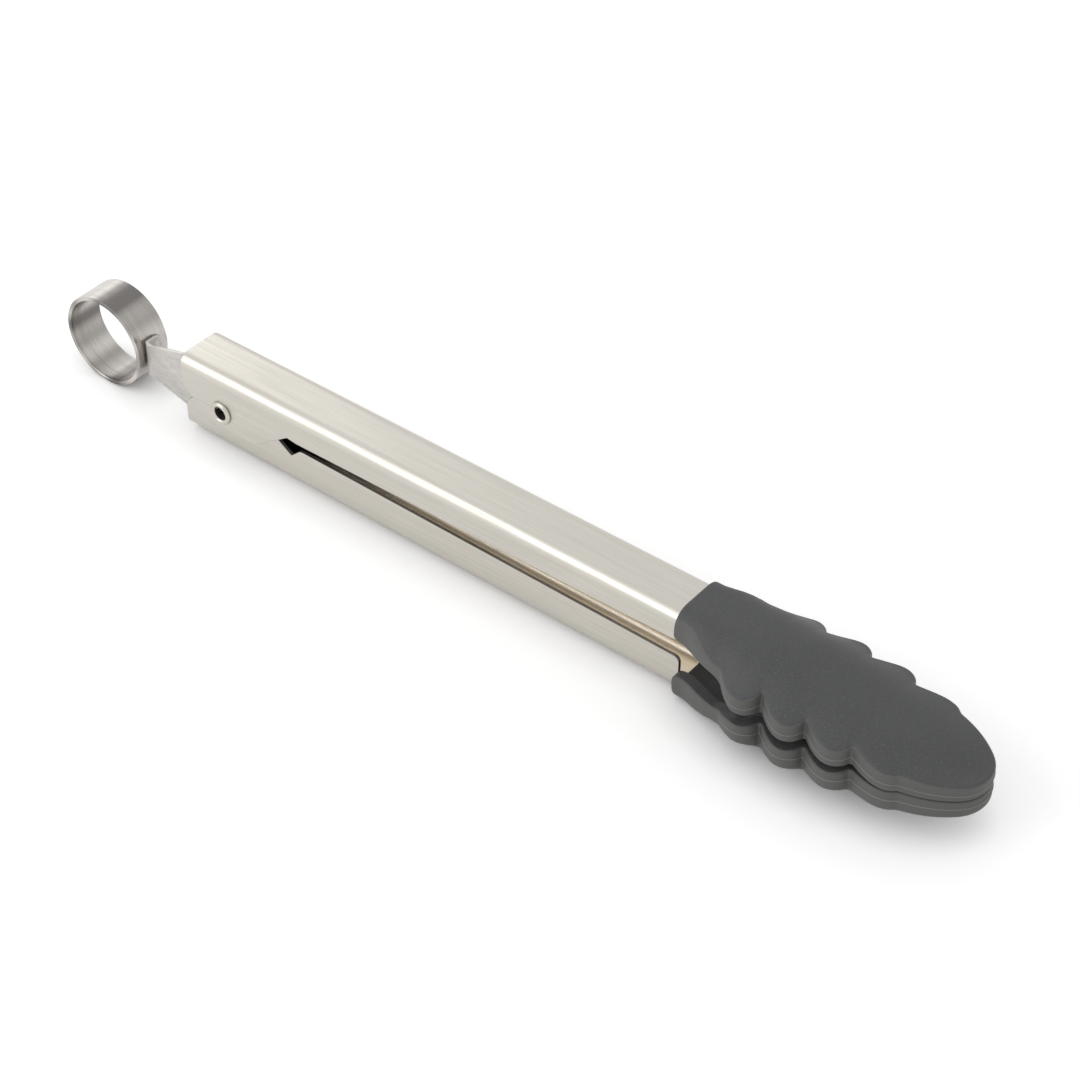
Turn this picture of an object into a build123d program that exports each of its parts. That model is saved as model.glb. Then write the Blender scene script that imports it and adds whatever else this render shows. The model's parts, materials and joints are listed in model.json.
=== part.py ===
"""Spring loaded kitchen tongs, closed and locked, with the pull ring drawn out.

X runs along the arms towards the tips, Y along the pivot, and Z is up. The origin is on the
table, under the middle of the tongs. The lower arm lies level, and all sizes are millimetres.
"""

import os
from math import acos, cos, floor, hypot, pi, radians, sin, tan

from build123d import *

# Arms
sheet = 0.9
upper_width = 14.8
ear_gap = 0.3
web_height = 11.3
bend_radius = 3.0
rear_reach = 13.2
arm_reach = 140.0
flange_corner = 1.5
closed_angle = 0.6
tongue_width = 7.0
tongue_length = 17.0

# Heights of the flanges' edges over the pivot, at the notch and at the head
upper_flange = (2.6, 3.7)
lower_flange = (0.2, 1.1)

# Ears round the pivot
ear_shoulder = 3.2
ear_drop = 4.9
ear_heel = 4.0
ear_toe = 10.5
notch_reach = 22.0
notch_height = 3.0
notch_run = 3.0
ear_rounding = (2.5, 4.0, 6.0)
notch_rounding = (0.6, 2.0)

# Pivot
rivet_radius = 2.4
rivet_bore = 1.75
rivet_bore_depth = 9.0
rim_radius = 3.2
rim_height = 0.8
rim_rounding = 0.35
head_height = 1.1
running_fit = 0.05
side_play = 0.1
bush_wall = 0.6

# Torsion spring
wire = 1.0
coil_gap = 0.1
coil_clearance = 0.1
leg_reach = 23.0
leg_clearance = 0.35

# Lock strip and ring
strip_thickness = 0.9
strip_offset = 2.8
strip_shoulder = 9.4
strip_tail_root = 7.8
strip_tail_end = 5.0
shoulder_reach = 12.5
tail_root_reach = 17.0
strip_nose = 6.0
strip_rounding = 3.0
strip_level = 2.5
bend_outside = 1.2
bend_inside = 0.3
slot_travel = 13.0
slot_clearance = 0.1
slot_end_play = 0.4
tab_reach = 6.4
tab_rounding = 4.0
weld_gap = 0.05
weld_radius = 0.8
weld_depth = 0.25
ring_radius = 12.7
ring_wall = 1.2
ring_width = 10.4
ring_edge = 0.3
ring_reach = 43.0

# Heads
skin = 1.3
head_overlap = 0.6
sleeve_length = 14.0
sleeve_edge = 5.0
sleeve_slope = 12.0
rim_gap = 0.4
rim_opening = 1.6
head_length = 78.0
tip_length = 15.5
tip_half_width = 13.0
tip_radius = 9.0
tip_turn = 50.0
neck_length = 8.0
lobe_pitch = 12.0
lobe_crests = (16.8, 16.8, 16.3, 15.0)
lobe_valleys = (11.0, 13.5, 13.8, 12.9)
shell = 3.6
rim_land = 3.2
core_cover = 1.0
core_thickness = 1.2
core_inset = 1.6
socket_wall = 1.0

# The dome's cross sections: reach back from the tip, height over the rim, and fall at the edge
dome_half_width = 20.0
dome_sections = ((74.0, 11.0, 14.0), (48.0, 11.2, 10.6), (23.0, 8.4, 6.2), (-1.0, 5.0, 1.0))

# Places worked out from the sizes above
lower_width = upper_width - 2 * (sheet + ear_gap)
tip_reach = arm_reach + head_length
neck_half_width = upper_width / 2 + skin
pivot_x = (ring_reach + ring_radius - tip_reach) / 2
pivot_z = web_height + skin
ring_z = ring_radius
half_angle = closed_angle / 2
bush_bore = rivet_radius + running_fit
bush_radius = bush_bore + bush_wall
coil_radius = bush_radius + coil_clearance + wire / 2
strip_near = -strip_offset - strip_thickness / 2
strip_far = -strip_offset + strip_thickness / 2
bay = lower_width / 2 - sheet
near_face = -upper_width / 2 - side_play
far_face = upper_width / 2 + side_play
tab_x = ring_radius - ring_reach + weld_gap
head_start = arm_reach - head_overlap
mouth_height = web_height - sheet - 2 * socket_wall
pivot = Vector(pivot_x, 0, pivot_z)
pivot_axis = Axis(pivot, (0, 1, 0))


def side_plane(angle, outward):
    """Side view at the pivot: x along the arm, y away from the other arm."""
    along = (cos(radians(angle)), 0, sin(radians(angle)))
    return Plane(origin=pivot, x_dir=along, z_dir=(0, -outward, 0))


def cross_plane(side, reach):
    """Cross section at a reach along the arm: x across it, y outward."""
    return Plane(origin=side.from_local_coords(Vector(reach, 0, 0)), x_dir=-side.z_dir, z_dir=side.x_dir)


def plan_plane(side, height):
    """Plan view at a height outward of the pivot: x along the arm."""
    return Plane(origin=side.from_local_coords(Vector(0, height, 0)), x_dir=side.x_dir, z_dir=side.y_dir)


def rim_plane(outward):
    """Side view of a head: x along its rim, which opens from the tip towards the arm."""
    middle = side_plane(half_angle, outward)
    tip = middle.from_local_coords(Vector(tip_reach, rim_gap / 2, 0))
    tilted = side_plane(half_angle - outward * rim_opening, outward)
    return Plane(origin=tip - tilted.x_dir * tip_reach, x_dir=tilted.x_dir, z_dir=tilted.z_dir)


def rim_level(reach):
    """Height of the rim outward of the arm's own axis, at a reach along the arm."""
    opened = rim_gap / 2 + (tip_reach - reach) * tan(radians(rim_opening))
    return opened - reach * tan(radians(half_angle))


lower_side = side_plane(0, -1)
upper_side = side_plane(closed_angle, 1)
lower_head_side = rim_plane(-1)
upper_head_side = rim_plane(1)
strip_side = side_plane(half_angle, 1)
turning_plane = Plane(origin=pivot, x_dir=(0, 1, 0), z_dir=(1, 0, 0))


def channel_face(plane, width, height, low, radius):
    """Filled section of a channel: straight walls down to low, and a web with rounded bends."""
    with BuildSketch(plane) as face:
        with BuildLine():
            FilletPolyline(
                (-width / 2, low),
                (-width / 2, height),
                (width / 2, height),
                (width / 2, low),
                radius=(0, radius, radius, 0),
                close=True,
            )
        make_face()
    return face.sketch


def channel_arm(side, width, flange):
    """A channel with ears at the pivot, a relief notch, plain flanges and a tongue for the head."""
    rear = cross_plane(side, -rear_reach)
    length = rear_reach + arm_reach
    with BuildPart() as arm:
        extrude(channel_face(rear, width, web_height, -ear_drop, bend_radius), amount=length)
        inside = channel_face(
            rear, width - 2 * sheet, web_height - sheet, -ear_drop, bend_radius - sheet
        )
        extrude(inside, amount=length, mode=Mode.SUBTRACT)
        with BuildSketch(side):
            with BuildLine():
                FilletPolyline(
                    (-rear_reach, web_height),
                    (-rear_reach, ear_shoulder),
                    (-ear_heel, -ear_drop),
                    (ear_toe, -ear_drop),
                    (notch_reach, notch_height),
                    (notch_reach + notch_run, flange[0]),
                    (arm_reach, flange[1]),
                    (arm_reach, web_height),
                    radius=(0, *ear_rounding, *notch_rounding, flange_corner, 0),
                    close=True,
                )
            make_face()
        extrude(amount=width, both=True, mode=Mode.INTERSECT)
        with BuildSketch(side):
            Circle(rivet_radius + running_fit)
        extrude(amount=width, both=True, mode=Mode.SUBTRACT)
        with BuildSketch(plan_plane(side, web_height)):
            with Locations((arm_reach + tongue_length / 2, 0)):
                Rectangle(tongue_length, tongue_width)
        extrude(amount=-sheet)
    return arm


def bush(start, end):
    """A plain spacer on the rivet."""
    with BuildPart() as spacer:
        with BuildSketch(Plane(origin=(pivot_x, start, pivot_z), x_dir=(1, 0, 0), z_dir=(0, 1, 0))):
            Circle(bush_radius)
            Circle(bush_bore, mode=Mode.SUBTRACT)
        extrude(amount=end - start)
    return spacer


def spoon(side, drop, inset):
    """The scalloped outline, drawn in by inset, carried up to the dome lowered by drop."""
    tip_start = tip_reach - tip_length
    first_valley = tip_start - lobe_pitch * len(lobe_crests)
    valleys = [(first_valley + i * lobe_pitch, half) for i, half in enumerate(lobe_valleys)]
    valleys.append((tip_start, tip_half_width))
    with BuildPart() as form:
        for back, crown, fall in dome_sections:
            with BuildSketch(cross_plane(side, tip_reach - back)):
                with BuildLine():
                    left = Vector(-dome_half_width, crown - fall - drop)
                    right = Vector(dome_half_width, crown - fall - drop)
                    ThreePointArc(left, (0, crown - drop), right)
                    Polyline(right, (right.X, -dome_half_width), (left.X, -dome_half_width), left)
                make_face()
        loft()
        with BuildSketch(plan_plane(side, 0)):
            with BuildLine():
                neck = (head_start + neck_length, neck_half_width)
                Line((neck[0], 0), neck)
                Line(neck, valleys[0])
                for start, end, crest in zip(valleys, valleys[1:], lobe_crests):
                    ThreePointArc(start, ((start[0] + end[0]) / 2, crest), end)
                nose = CenterArc((tip_reach - tip_radius, 0), tip_radius, 0, tip_turn)
                TangentArc(nose @ 1, valleys[-1], tangent=nose % 1)
                mirror(about=Plane.XZ)
            make_face()
            if inset:
                offset(amount=-inset)
        extrude(amount=2 * web_height, mode=Mode.INTERSECT)
    return form.part


def sleeve(side):
    """The head's neck over the end of the arm, its lower edge sloping down to the rim."""
    width = upper_width + 2 * skin
    with BuildPart() as neck:
        section = channel_face(
            cross_plane(side, head_start), width, web_height + skin, 0, bend_radius + skin
        )
        extrude(section, amount=sleeve_length)
        with BuildSketch(side):
            with BuildLine():
                Polyline(
                    (head_start, web_height + skin),
                    (head_start, sleeve_edge),
                    (head_start + sleeve_slope, rim_level(head_start + sleeve_slope)),
                    (head_start + sleeve_length, rim_level(head_start + sleeve_length)),
                    (head_start + sleeve_length, web_height + skin),
                    close=True,
                )
            make_face()
        extrude(amount=width, both=True, mode=Mode.INTERSECT)
    return neck.part


def head_core(arm_side, head_side):
    """Stiffener: a plate under the dome and a socket, open above, for the arm's tongue."""
    with BuildPart() as core:
        add(spoon(head_side, core_cover, core_inset))
        add(spoon(head_side, core_cover + core_thickness, 0), mode=Mode.SUBTRACT)
        with BuildSketch(plan_plane(arm_side, web_height)):
            with Locations((arm_reach + tongue_length / 2 + socket_wall, 0)):
                Rectangle(tongue_length, tongue_width + 2 * socket_wall)
        extrude(amount=-sheet - socket_wall)
        with BuildSketch(plan_plane(arm_side, web_height - sheet)):
            with Locations((arm_reach + tongue_length / 2, 0)):
                Rectangle(tongue_length, tongue_width)
        extrude(amount=web_height, mode=Mode.SUBTRACT)
    return core


def head_skin(arm, core, arm_side, head_side):
    """Silicone: sleeve and scalloped spoon, hollow from mouth to rim, moulded round core and arm."""
    with BuildPart() as cover:
        add(sleeve(arm_side))
        add(spoon(head_side, 0, 0))
        add(spoon(head_side, shell, rim_land), mode=Mode.SUBTRACT)
        mouth = channel_face(
            cross_plane(arm_side, head_start), 2 * bay, mouth_height, -rim_gap, bend_radius - sheet
        )
        extrude(mouth, amount=sleeve_length, mode=Mode.SUBTRACT)
        add(core.part, mode=Mode.SUBTRACT)
        add(arm.part, mode=Mode.SUBTRACT)
    return cover


upper_arm = channel_arm(upper_side, upper_width, upper_flange)
lower_arm = channel_arm(lower_side, lower_width, lower_flange)
upper_head_core = head_core(upper_side, upper_head_side)
lower_head_core = head_core(lower_side, lower_head_side)
upper_head_skin = head_skin(upper_arm, upper_head_core, upper_side, upper_head_side)
lower_head_skin = head_skin(lower_arm, lower_head_core, lower_side, lower_head_side)
short_bush = bush(side_play - bay, strip_near - side_play)
spring_bush = bush(strip_far + side_play, bay - side_play)

# Hollow rivet: the flared rim on the near side, a plain head on the far side
with BuildPart() as pivot_rivet:
    mouth = near_face - rim_height
    bore_end = mouth + rivet_bore_depth
    with BuildSketch(turning_plane):
        with BuildLine():
            FilletPolyline(
                (bore_end, 0),
                (bore_end, rivet_bore),
                (mouth, rivet_bore),
                (mouth, rim_radius),
                (near_face, rim_radius),
                (near_face, rivet_radius),
                (far_face, rivet_radius),
                (far_face, rim_radius),
                (far_face + head_height, rim_radius),
                (far_face + head_height, 0),
                radius=(0, 0, rim_rounding, rim_rounding, 0, 0, 0, 0, rim_rounding, 0),
                close=True,
            )
        make_face()
    revolve(axis=pivot_axis)

# Torsion spring: as many turns as fit, and each leg leaves as a tangent to end just inside its arm's web
web_inside = web_height - sheet + leg_reach * tan(radians(half_angle))
leg_rise = web_inside - leg_clearance - wire / 2
leg_span = hypot(leg_reach, leg_rise)
leg_turn = acos(coil_radius / leg_span)
leg_start = acos(leg_reach / leg_span) + leg_turn
leg_length = leg_span * sin(leg_turn)
coil_pitch = wire + coil_gap
leg_drift = leg_length * coil_pitch / (2 * pi * coil_radius)
coil_room = bay - strip_far - 2 * side_play - wire - 2 * leg_drift
coil_turns = floor(coil_room / coil_pitch + leg_start / pi)
coil_angle = 2 * pi * coil_turns - 2 * leg_start
coil_height = coil_pitch * coil_angle / (2 * pi)
coil_start = Vector(pivot_x, (strip_far + bay - coil_height) / 2, pivot_z)
coil_along = strip_side.x_dir * cos(leg_start)
coil_out = strip_side.y_dir * sin(leg_start)
coil_plane = Plane(origin=coil_start, x_dir=coil_along - coil_out, z_dir=(0, 1, 0))
coil = coil_plane * Helix(pitch=coil_pitch, height=coil_height, radius=coil_radius)
with BuildPart() as torsion_spring:
    with BuildSketch(coil ^ 0):
        Circle(wire / 2)
    sweep(path=coil, is_frenet=True)
    for leg_root, leg_direction in ((coil @ 0, -(coil % 0)), (coil @ 1, coil % 1)):
        with BuildSketch(Plane(origin=leg_root, z_dir=leg_direction)):
            Circle(wire / 2)
        extrude(amount=leg_length)

# Lock strip: wide between the webs, a slot on the rivet, a tapered tail and a tab for the ring
with BuildPart() as lock_strip:
    with BuildSketch(strip_side.offset(strip_offset)):
        with BuildLine():
            FilletPolyline(
                (tab_x, strip_tail_end),
                (tab_x + strip_level, strip_tail_end),
                (-tail_root_reach, strip_tail_root),
                (-shoulder_reach, strip_shoulder),
                (strip_nose, strip_shoulder),
                (strip_nose, -strip_shoulder),
                (-shoulder_reach, -strip_shoulder),
                (-tail_root_reach, -strip_tail_root),
                (tab_x + strip_level, -strip_tail_end),
                (tab_x, -strip_tail_end),
                radius=(0, *[strip_rounding] * 8, 0),
                close=True,
            )
        make_face()
        slot_length = slot_travel + 2 * slot_end_play
        with Locations((slot_end_play - slot_length / 2, 0)):
            SlotCenterToCenter(slot_length, 2 * (rivet_radius + slot_clearance), mode=Mode.SUBTRACT)
    extrude(amount=strip_thickness / 2, both=True)
    with BuildSketch(cross_plane(strip_side, tab_x)):
        with BuildLine():
            FilletPolyline(
                (strip_near, -strip_tail_end),
                (strip_far + tab_reach, -strip_tail_end),
                (strip_far + tab_reach, strip_tail_end),
                (strip_near, strip_tail_end),
                radius=(0, tab_rounding, tab_rounding, 0),
                close=True,
            )
        make_face()
    extrude(amount=strip_thickness)
    with BuildSketch(cross_plane(strip_side, tab_x + strip_thickness)):
        with Locations((strip_far + tab_reach / 2, 0)):
            Circle(weld_radius)
    extrude(amount=-weld_depth, mode=Mode.SUBTRACT)
    outer_corner = strip_side.from_local_coords(Vector(tab_x, 0, -strip_near))
    inner_corner = strip_side.from_local_coords(Vector(tab_x + strip_thickness, 0, -strip_far))
    fillet(lock_strip.edges().sort_by_distance(outer_corner)[0], bend_outside)
    fillet(lock_strip.edges().sort_by_distance(inner_corner)[0], bend_inside)

# Band ring, standing on the table behind the tab
with BuildPart() as pull_ring:
    ring_centre = (pivot_x - ring_reach, -ring_width / 2, ring_z)
    with BuildSketch(Plane(origin=ring_centre, x_dir=(1, 0, 0), z_dir=(0, 1, 0))):
        Circle(ring_radius)
        Circle(ring_radius - ring_wall, mode=Mode.SUBTRACT)
    extrude(amount=ring_width)
    fillet(pull_ring.edges().filter_by(GeomType.CIRCLE), ring_edge)

pieces = {
    "upper_arm": upper_arm,
    "lower_arm": lower_arm,
    "upper_head_core": upper_head_core,
    "lower_head_core": lower_head_core,
    "upper_head_skin": upper_head_skin,
    "lower_head_skin": lower_head_skin,
    "pivot_rivet": pivot_rivet,
    "short_bush": short_bush,
    "spring_bush": spring_bush,
    "torsion_spring": torsion_spring,
    "lock_strip": lock_strip,
    "pull_ring": pull_ring,
}
os.makedirs("parts", exist_ok=True)
for name, piece in pieces.items():
    piece.part.label = name
    export_step(piece.part, f"parts/{name}.step")
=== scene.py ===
"""Spring loaded kitchen tongs: the finished surfaces and finishes of the packed part.

X runs along the arms towards the tips, Y along the pivot and Z is up. Shapes are worked out in
millimetres round the pivot: x along an arm, y across it and h outward, away from the other arm.
"""

import json
from math import acos, ceil, cos, hypot, pi, radians, sin, tan

import bmesh
import bpy
import numpy as np
from bpy.props import FloatProperty, FloatVectorProperty, IntProperty, PointerProperty
from mathutils import Matrix, Vector


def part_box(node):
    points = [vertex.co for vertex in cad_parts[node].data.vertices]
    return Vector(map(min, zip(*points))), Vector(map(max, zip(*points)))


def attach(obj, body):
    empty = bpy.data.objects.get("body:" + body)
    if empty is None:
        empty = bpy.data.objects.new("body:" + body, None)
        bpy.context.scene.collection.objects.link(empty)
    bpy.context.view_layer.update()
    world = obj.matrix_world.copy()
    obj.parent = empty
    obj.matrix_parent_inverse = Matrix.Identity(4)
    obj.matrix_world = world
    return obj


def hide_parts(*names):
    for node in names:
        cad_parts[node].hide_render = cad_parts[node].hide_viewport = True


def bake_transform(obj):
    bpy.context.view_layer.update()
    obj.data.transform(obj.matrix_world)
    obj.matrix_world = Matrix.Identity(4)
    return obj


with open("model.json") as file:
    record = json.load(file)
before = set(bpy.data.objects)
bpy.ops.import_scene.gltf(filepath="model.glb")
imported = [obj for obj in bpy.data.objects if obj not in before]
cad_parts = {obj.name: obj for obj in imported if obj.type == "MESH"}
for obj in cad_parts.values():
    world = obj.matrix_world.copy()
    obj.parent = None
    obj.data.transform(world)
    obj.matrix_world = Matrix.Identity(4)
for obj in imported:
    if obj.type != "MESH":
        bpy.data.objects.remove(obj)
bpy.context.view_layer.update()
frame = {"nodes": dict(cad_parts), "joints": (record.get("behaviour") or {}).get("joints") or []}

bl_info = {
    "name": "Kitchen tongs",
    "version": (1, 0, 0),
    "blender": (4, 5, 0),
    "location": "View3D > Sidebar > Tongs",
    "description": "Builds the finished surfaces of spring loaded kitchen tongs round their CAD frame",
    "category": "Object",
}

MM = 0.001
PIVOT = np.array(frame["joints"][0]["pos_m"]) / MM
# Degrees between the closed arms, and between a head's rim and the plane midway between the arms.
CLOSED_ANGLE = 0.6
RIM_OPENING = 1.6
# The strip and the spring lie midway between the arms.
STRIP_SIDE = (CLOSED_ANGLE / 2, 1)
# Brush lines along and across the brush, in cycles per metre.
FINE_LINES = (40.0, 2000.0, 2000.0)
BROAD_LINES = (14.0, 420.0, 420.0)


def length(name, text, default):
    """A size property, given in millimetres and kept in metres."""
    return FloatProperty(name=name, description=text, default=default * MM, min=0.0, unit="LENGTH", precision=5)


def paint(name, text, default):
    """A colour property."""
    return FloatVectorProperty(
        name=name, description=text, default=default, size=3, min=0.0, max=1.0, subtype="COLOR"
    )


class ArmSizes(bpy.types.PropertyGroup):
    """Sizes of the two channel arms."""

    sheet: length("Sheet", "Thickness of the sheet steel", 0.9)
    upper_width: length("Upper width", "Outside width of the upper arm", 14.8)
    lower_width: length("Lower width", "Outside width of the lower arm", 12.4)
    web_height: length("Web height", "Height of the web over the pivot", 11.3)
    bend_radius: length("Bend radius", "Outside radius of the folded edges", 3.0)
    rear_reach: length("Rear reach", "From the pivot back to the rear edge", 13.2)
    arm_reach: length("Arm reach", "From the pivot to the arm's front edge", 140.0)
    notch_height: length("Notch height", "Height of the relief notches over the pivot", 3.0)
    upper_rear: length("Upper flange behind", "Height of the upper flange's edge at the notch", 2.6)
    upper_front: length("Upper flange in front", "Height of the upper flange's edge at the head", 3.7)
    lower_rear: length("Lower flange behind", "Height of the lower flange's edge at the notch", 0.2)
    lower_front: length("Lower flange in front", "Height of the lower flange's edge at the head", 1.1)
    edge_round: length("Edge rounding", "Rounding of the cut edges of the sheet", 0.36)


class HeadSizes(bpy.types.PropertyGroup):
    """Sizes of the two silicone heads."""

    start: length("Start", "From the pivot to the sleeve's rear edge", 139.4)
    reach: length("Reach", "From the pivot to the tip", 218.0)
    sleeve_half: length("Sleeve half width", "Half the sleeve's outside width", 8.7)
    sleeve_height: length("Sleeve height", "Height of the sleeve over the arm's line", 12.75)
    sleeve_round: length("Sleeve rounding", "Outside radius of the sleeve's top edges", 4.3)
    sleeve_edge: length("Sleeve edge", "Height of the sleeve's lower edge over the rim", 2.8)
    lobe_pitch: length("Lobe pitch", "Distance from one notch to the next", 12.0)
    tip_length: length("Tip length", "From the last notch to the tip", 15.5)
    tip_half: length("Tip half width", "Half the width at the last notch", 12.5)
    tip_radius: length("Tip radius", "Radius of the round tip", 9.0)
    top_round: length("Top rounding", "Rounding of the spoon's top edge", 0.9)
    rim_round: length("Rim rounding", "Rounding of the rim's lower edge", 0.6)
    rim_gap: length("Rim gap", "Gap between the two rims at the tip", 0.4)
    rim_land: length("Rim land", "Width of the rim", 3.2)
    shell: length("Shell", "Thickness of the dome", 3.6)


class HardwareSizes(bpy.types.PropertyGroup):
    """Sizes of the ring, the rivet and the spring."""

    ring_radius: length("Ring radius", "Outside radius of the pull ring", 12.7)
    ring_wall: length("Ring wall", "Thickness of the ring's band", 1.2)
    ring_width: length("Ring width", "Width of the ring's band", 10.4)
    ring_edge: length("Ring edge", "Rounding of the ring's edges", 0.3)
    ring_reach: length("Ring reach", "From the pivot back to the ring's centre", 43.0)
    rivet_radius: length("Rivet radius", "Radius of the rivet's shank", 2.4)
    rivet_bore: length("Rivet bore", "Radius of the hole in the rivet", 1.75)
    rim_radius: length("Rim radius", "Radius of the rivet's flared rim", 3.2)
    rim_height: length("Rim height", "How far the flared rim stands out", 0.8)
    wire: length("Wire", "Diameter of the spring's wire", 1.0)
    coil_radius: length("Coil radius", "From the pivot to the middle of the wire", 3.65)
    coil_pitch: length("Coil pitch", "Distance from one turn to the next", 1.1)
    coil_turns: IntProperty(name="Coil turns", description="Turns of the spring", default=4, min=1)
    leg_reach: length("Leg reach", "From the pivot to the end of a leg", 23.0)


class Finishes(bpy.types.PropertyGroup):
    """Colours of the finishes."""

    steel: paint("Steel", "Brushed stainless steel of the arms", (0.61, 0.587, 0.533))
    steel_dark: paint("Steel shade", "Darker brush lines in the steel", (0.46, 0.44, 0.395))
    inside: paint("Inside", "Bare mill face inside the arms", (0.97, 0.90, 0.79))
    # The cut edges' dark colour is partly the duller sheared steel and partly painted shade along the edges.
    cut: paint("Cut edge", "Sheared edges of the sheet", (0.28, 0.265, 0.24))
    ring: paint("Ring", "Brushed steel of the pull ring", (0.72, 0.685, 0.645))
    strip: paint("Strip", "Plain steel of the lock strip", (0.60, 0.58, 0.55))
    wire: paint("Wire", "Spring wire", (0.42, 0.41, 0.40))
    silicone: paint("Silicone", "Dark grey silicone of the heads", (0.058, 0.059, 0.061))
    silicone_pale: paint("Silicone speckle", "Paler speckle in the silicone", (0.098, 0.099, 0.100))
    nylon: paint("Nylon", "Nylon of the spacers and the stiffeners", (0.30, 0.29, 0.27))
    floor: paint("Floor", "Pale floor", (0.90, 0.90, 0.90))


def sizes_of(group):
    """A property group's lengths as a dict, in millimetres, and its counts as they are."""
    values = {}
    for key in group.__annotations__:
        value = getattr(group, key)
        values[key] = value if isinstance(value, int) else value / MM
    return values


def smooth_step(value, low, high):
    """0 below low, 1 above high, and an even S between them."""
    share = np.clip((np.asarray(value, float) - low) / (high - low), 0, 1)
    return share * share * (3 - 2 * share)


def placed(side, x, y, h):
    """Points x along an arm, y across it and h outward, turned into the frame, in millimetres.
    side is the arm's angle in degrees and 1 for the upper or -1 for the lower."""
    angle, outward = radians(side[0]), side[1]
    x, y, h = np.broadcast_arrays(x, y, h)
    along = x * cos(angle) - outward * h * sin(angle)
    up = x * sin(angle) + outward * h * cos(angle)
    return PIVOT + np.stack([along, y, up], axis=-1)


def rounded_path(corners, radii, step):
    """Straight runs between corners. Each inner corner is an arc of its radius that touches both runs."""
    corners = np.asarray(corners, float)
    runs = [corners[:1]]
    for before, corner, after, radius in zip(corners, corners[1:], corners[2:], radii):
        back = (before - corner) / np.linalg.norm(before - corner)
        ahead = (after - corner) / np.linalg.norm(after - corner)
        half = 0.5 * np.arccos(np.clip(back @ ahead, -1, 1))
        bisector = (back + ahead) / np.linalg.norm(back + ahead)
        centre = corner + bisector * radius / np.sin(half)
        start = corner + back * radius / np.tan(half) - centre
        end = corner + ahead * radius / np.tan(half) - centre
        first = np.arctan2(start[1], start[0])
        turn = (np.arctan2(end[1], end[0]) - first + pi) % (2 * pi) - pi
        angle = first + turn * np.linspace(0, 1, max(3, ceil(abs(turn) * radius / step)) + 1)
        runs.append(centre + radius * np.stack([np.cos(angle), np.sin(angle)], axis=-1))
    runs.append(corners[-1:])
    return np.concatenate(runs)


def run_length(path):
    """Distance along a path at each of its points."""
    return np.concatenate([[0], np.cumsum(np.linalg.norm(np.diff(path, axis=0), axis=1))])


def at_lengths(path, lengths):
    """Points of a path at distances along it."""
    whole = run_length(path)
    return np.stack([np.interp(lengths, whole, path[:, k]) for k in range(path.shape[1])], axis=-1)


def filled_in(path, step):
    """The path's own points, with more between them so that no two are further apart than step."""
    whole = run_length(path)
    extra = np.linspace(0, whole[-1], ceil(whole[-1] / step) + 1)
    lengths = np.sort(np.concatenate([whole, extra]))
    return at_lengths(path, lengths[np.concatenate([[True], np.diff(lengths) > 0.02])])


def grid_quads(rows, columns, wrap_rows=False, wrap_columns=False):
    """Corner numbers of the quads of a grid whose points are numbered row by row."""
    number = np.arange(rows * columns).reshape(rows, columns)
    if wrap_rows:
        number = np.concatenate([number, number[:1]])
    if wrap_columns:
        number = np.concatenate([number, number[:, :1]], axis=1)
    corners = (number[:-1, :-1], number[1:, :-1], number[1:, 1:], number[:-1, 1:])
    return np.stack(corners, axis=-1).reshape(-1, 4)


def volume_of(points, quads):
    """Six times the volume inside closed quads, below zero where they face inwards."""
    a, b, c, d = (points[quads[:, k]] for k in range(4))
    return np.sum(np.cross(a, b) * c) + np.sum(np.cross(a, c) * d)


def new_piece(name, points, quads, material, attributes=(), flip=None):
    """A smooth mesh object of the points, in millimetres, with coinciding points merged.
    A closed surface is turned to face outwards; flip says it for an open one."""
    points = np.asarray(points, float).reshape(-1, 3)
    inside_out = volume_of(points - points.mean(0), quads) < 0 if flip is None else flip
    mesh = bpy.data.meshes.new(name)
    mesh.from_pydata(points * MM, [], (quads[:, ::-1] if inside_out else quads).tolist())
    for key, values in attributes:
        values = np.asarray(values, np.float32)
        kind = "FLOAT_VECTOR" if values.shape[-1] == 3 else "FLOAT"
        layer = mesh.attributes.new(key, kind, "POINT")
        layer.data.foreach_set("vector" if kind == "FLOAT_VECTOR" else "value", values.ravel())
    work = bmesh.new()
    work.from_mesh(mesh)
    bmesh.ops.remove_doubles(work, verts=work.verts, dist=1e-6)
    work.to_mesh(mesh)
    work.free()
    mesh.polygons.foreach_set("use_smooth", np.ones(len(mesh.polygons), bool))
    mesh.materials.append(material)
    mesh.update()
    piece = bpy.data.objects.new(name, mesh)
    bpy.context.scene.collection.objects.link(piece)
    return piece


def bevel(piece, width):
    """Rounds a piece's sharp edges, with the flat faces kept flat."""
    edge = piece.modifiers.new("edges", "BEVEL")
    edge.width = width * MM
    edge.segments = 2
    edge.limit_method = "ANGLE"
    edge.angle_limit = radians(35)
    edge.harden_normals = True
    return edge


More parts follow.
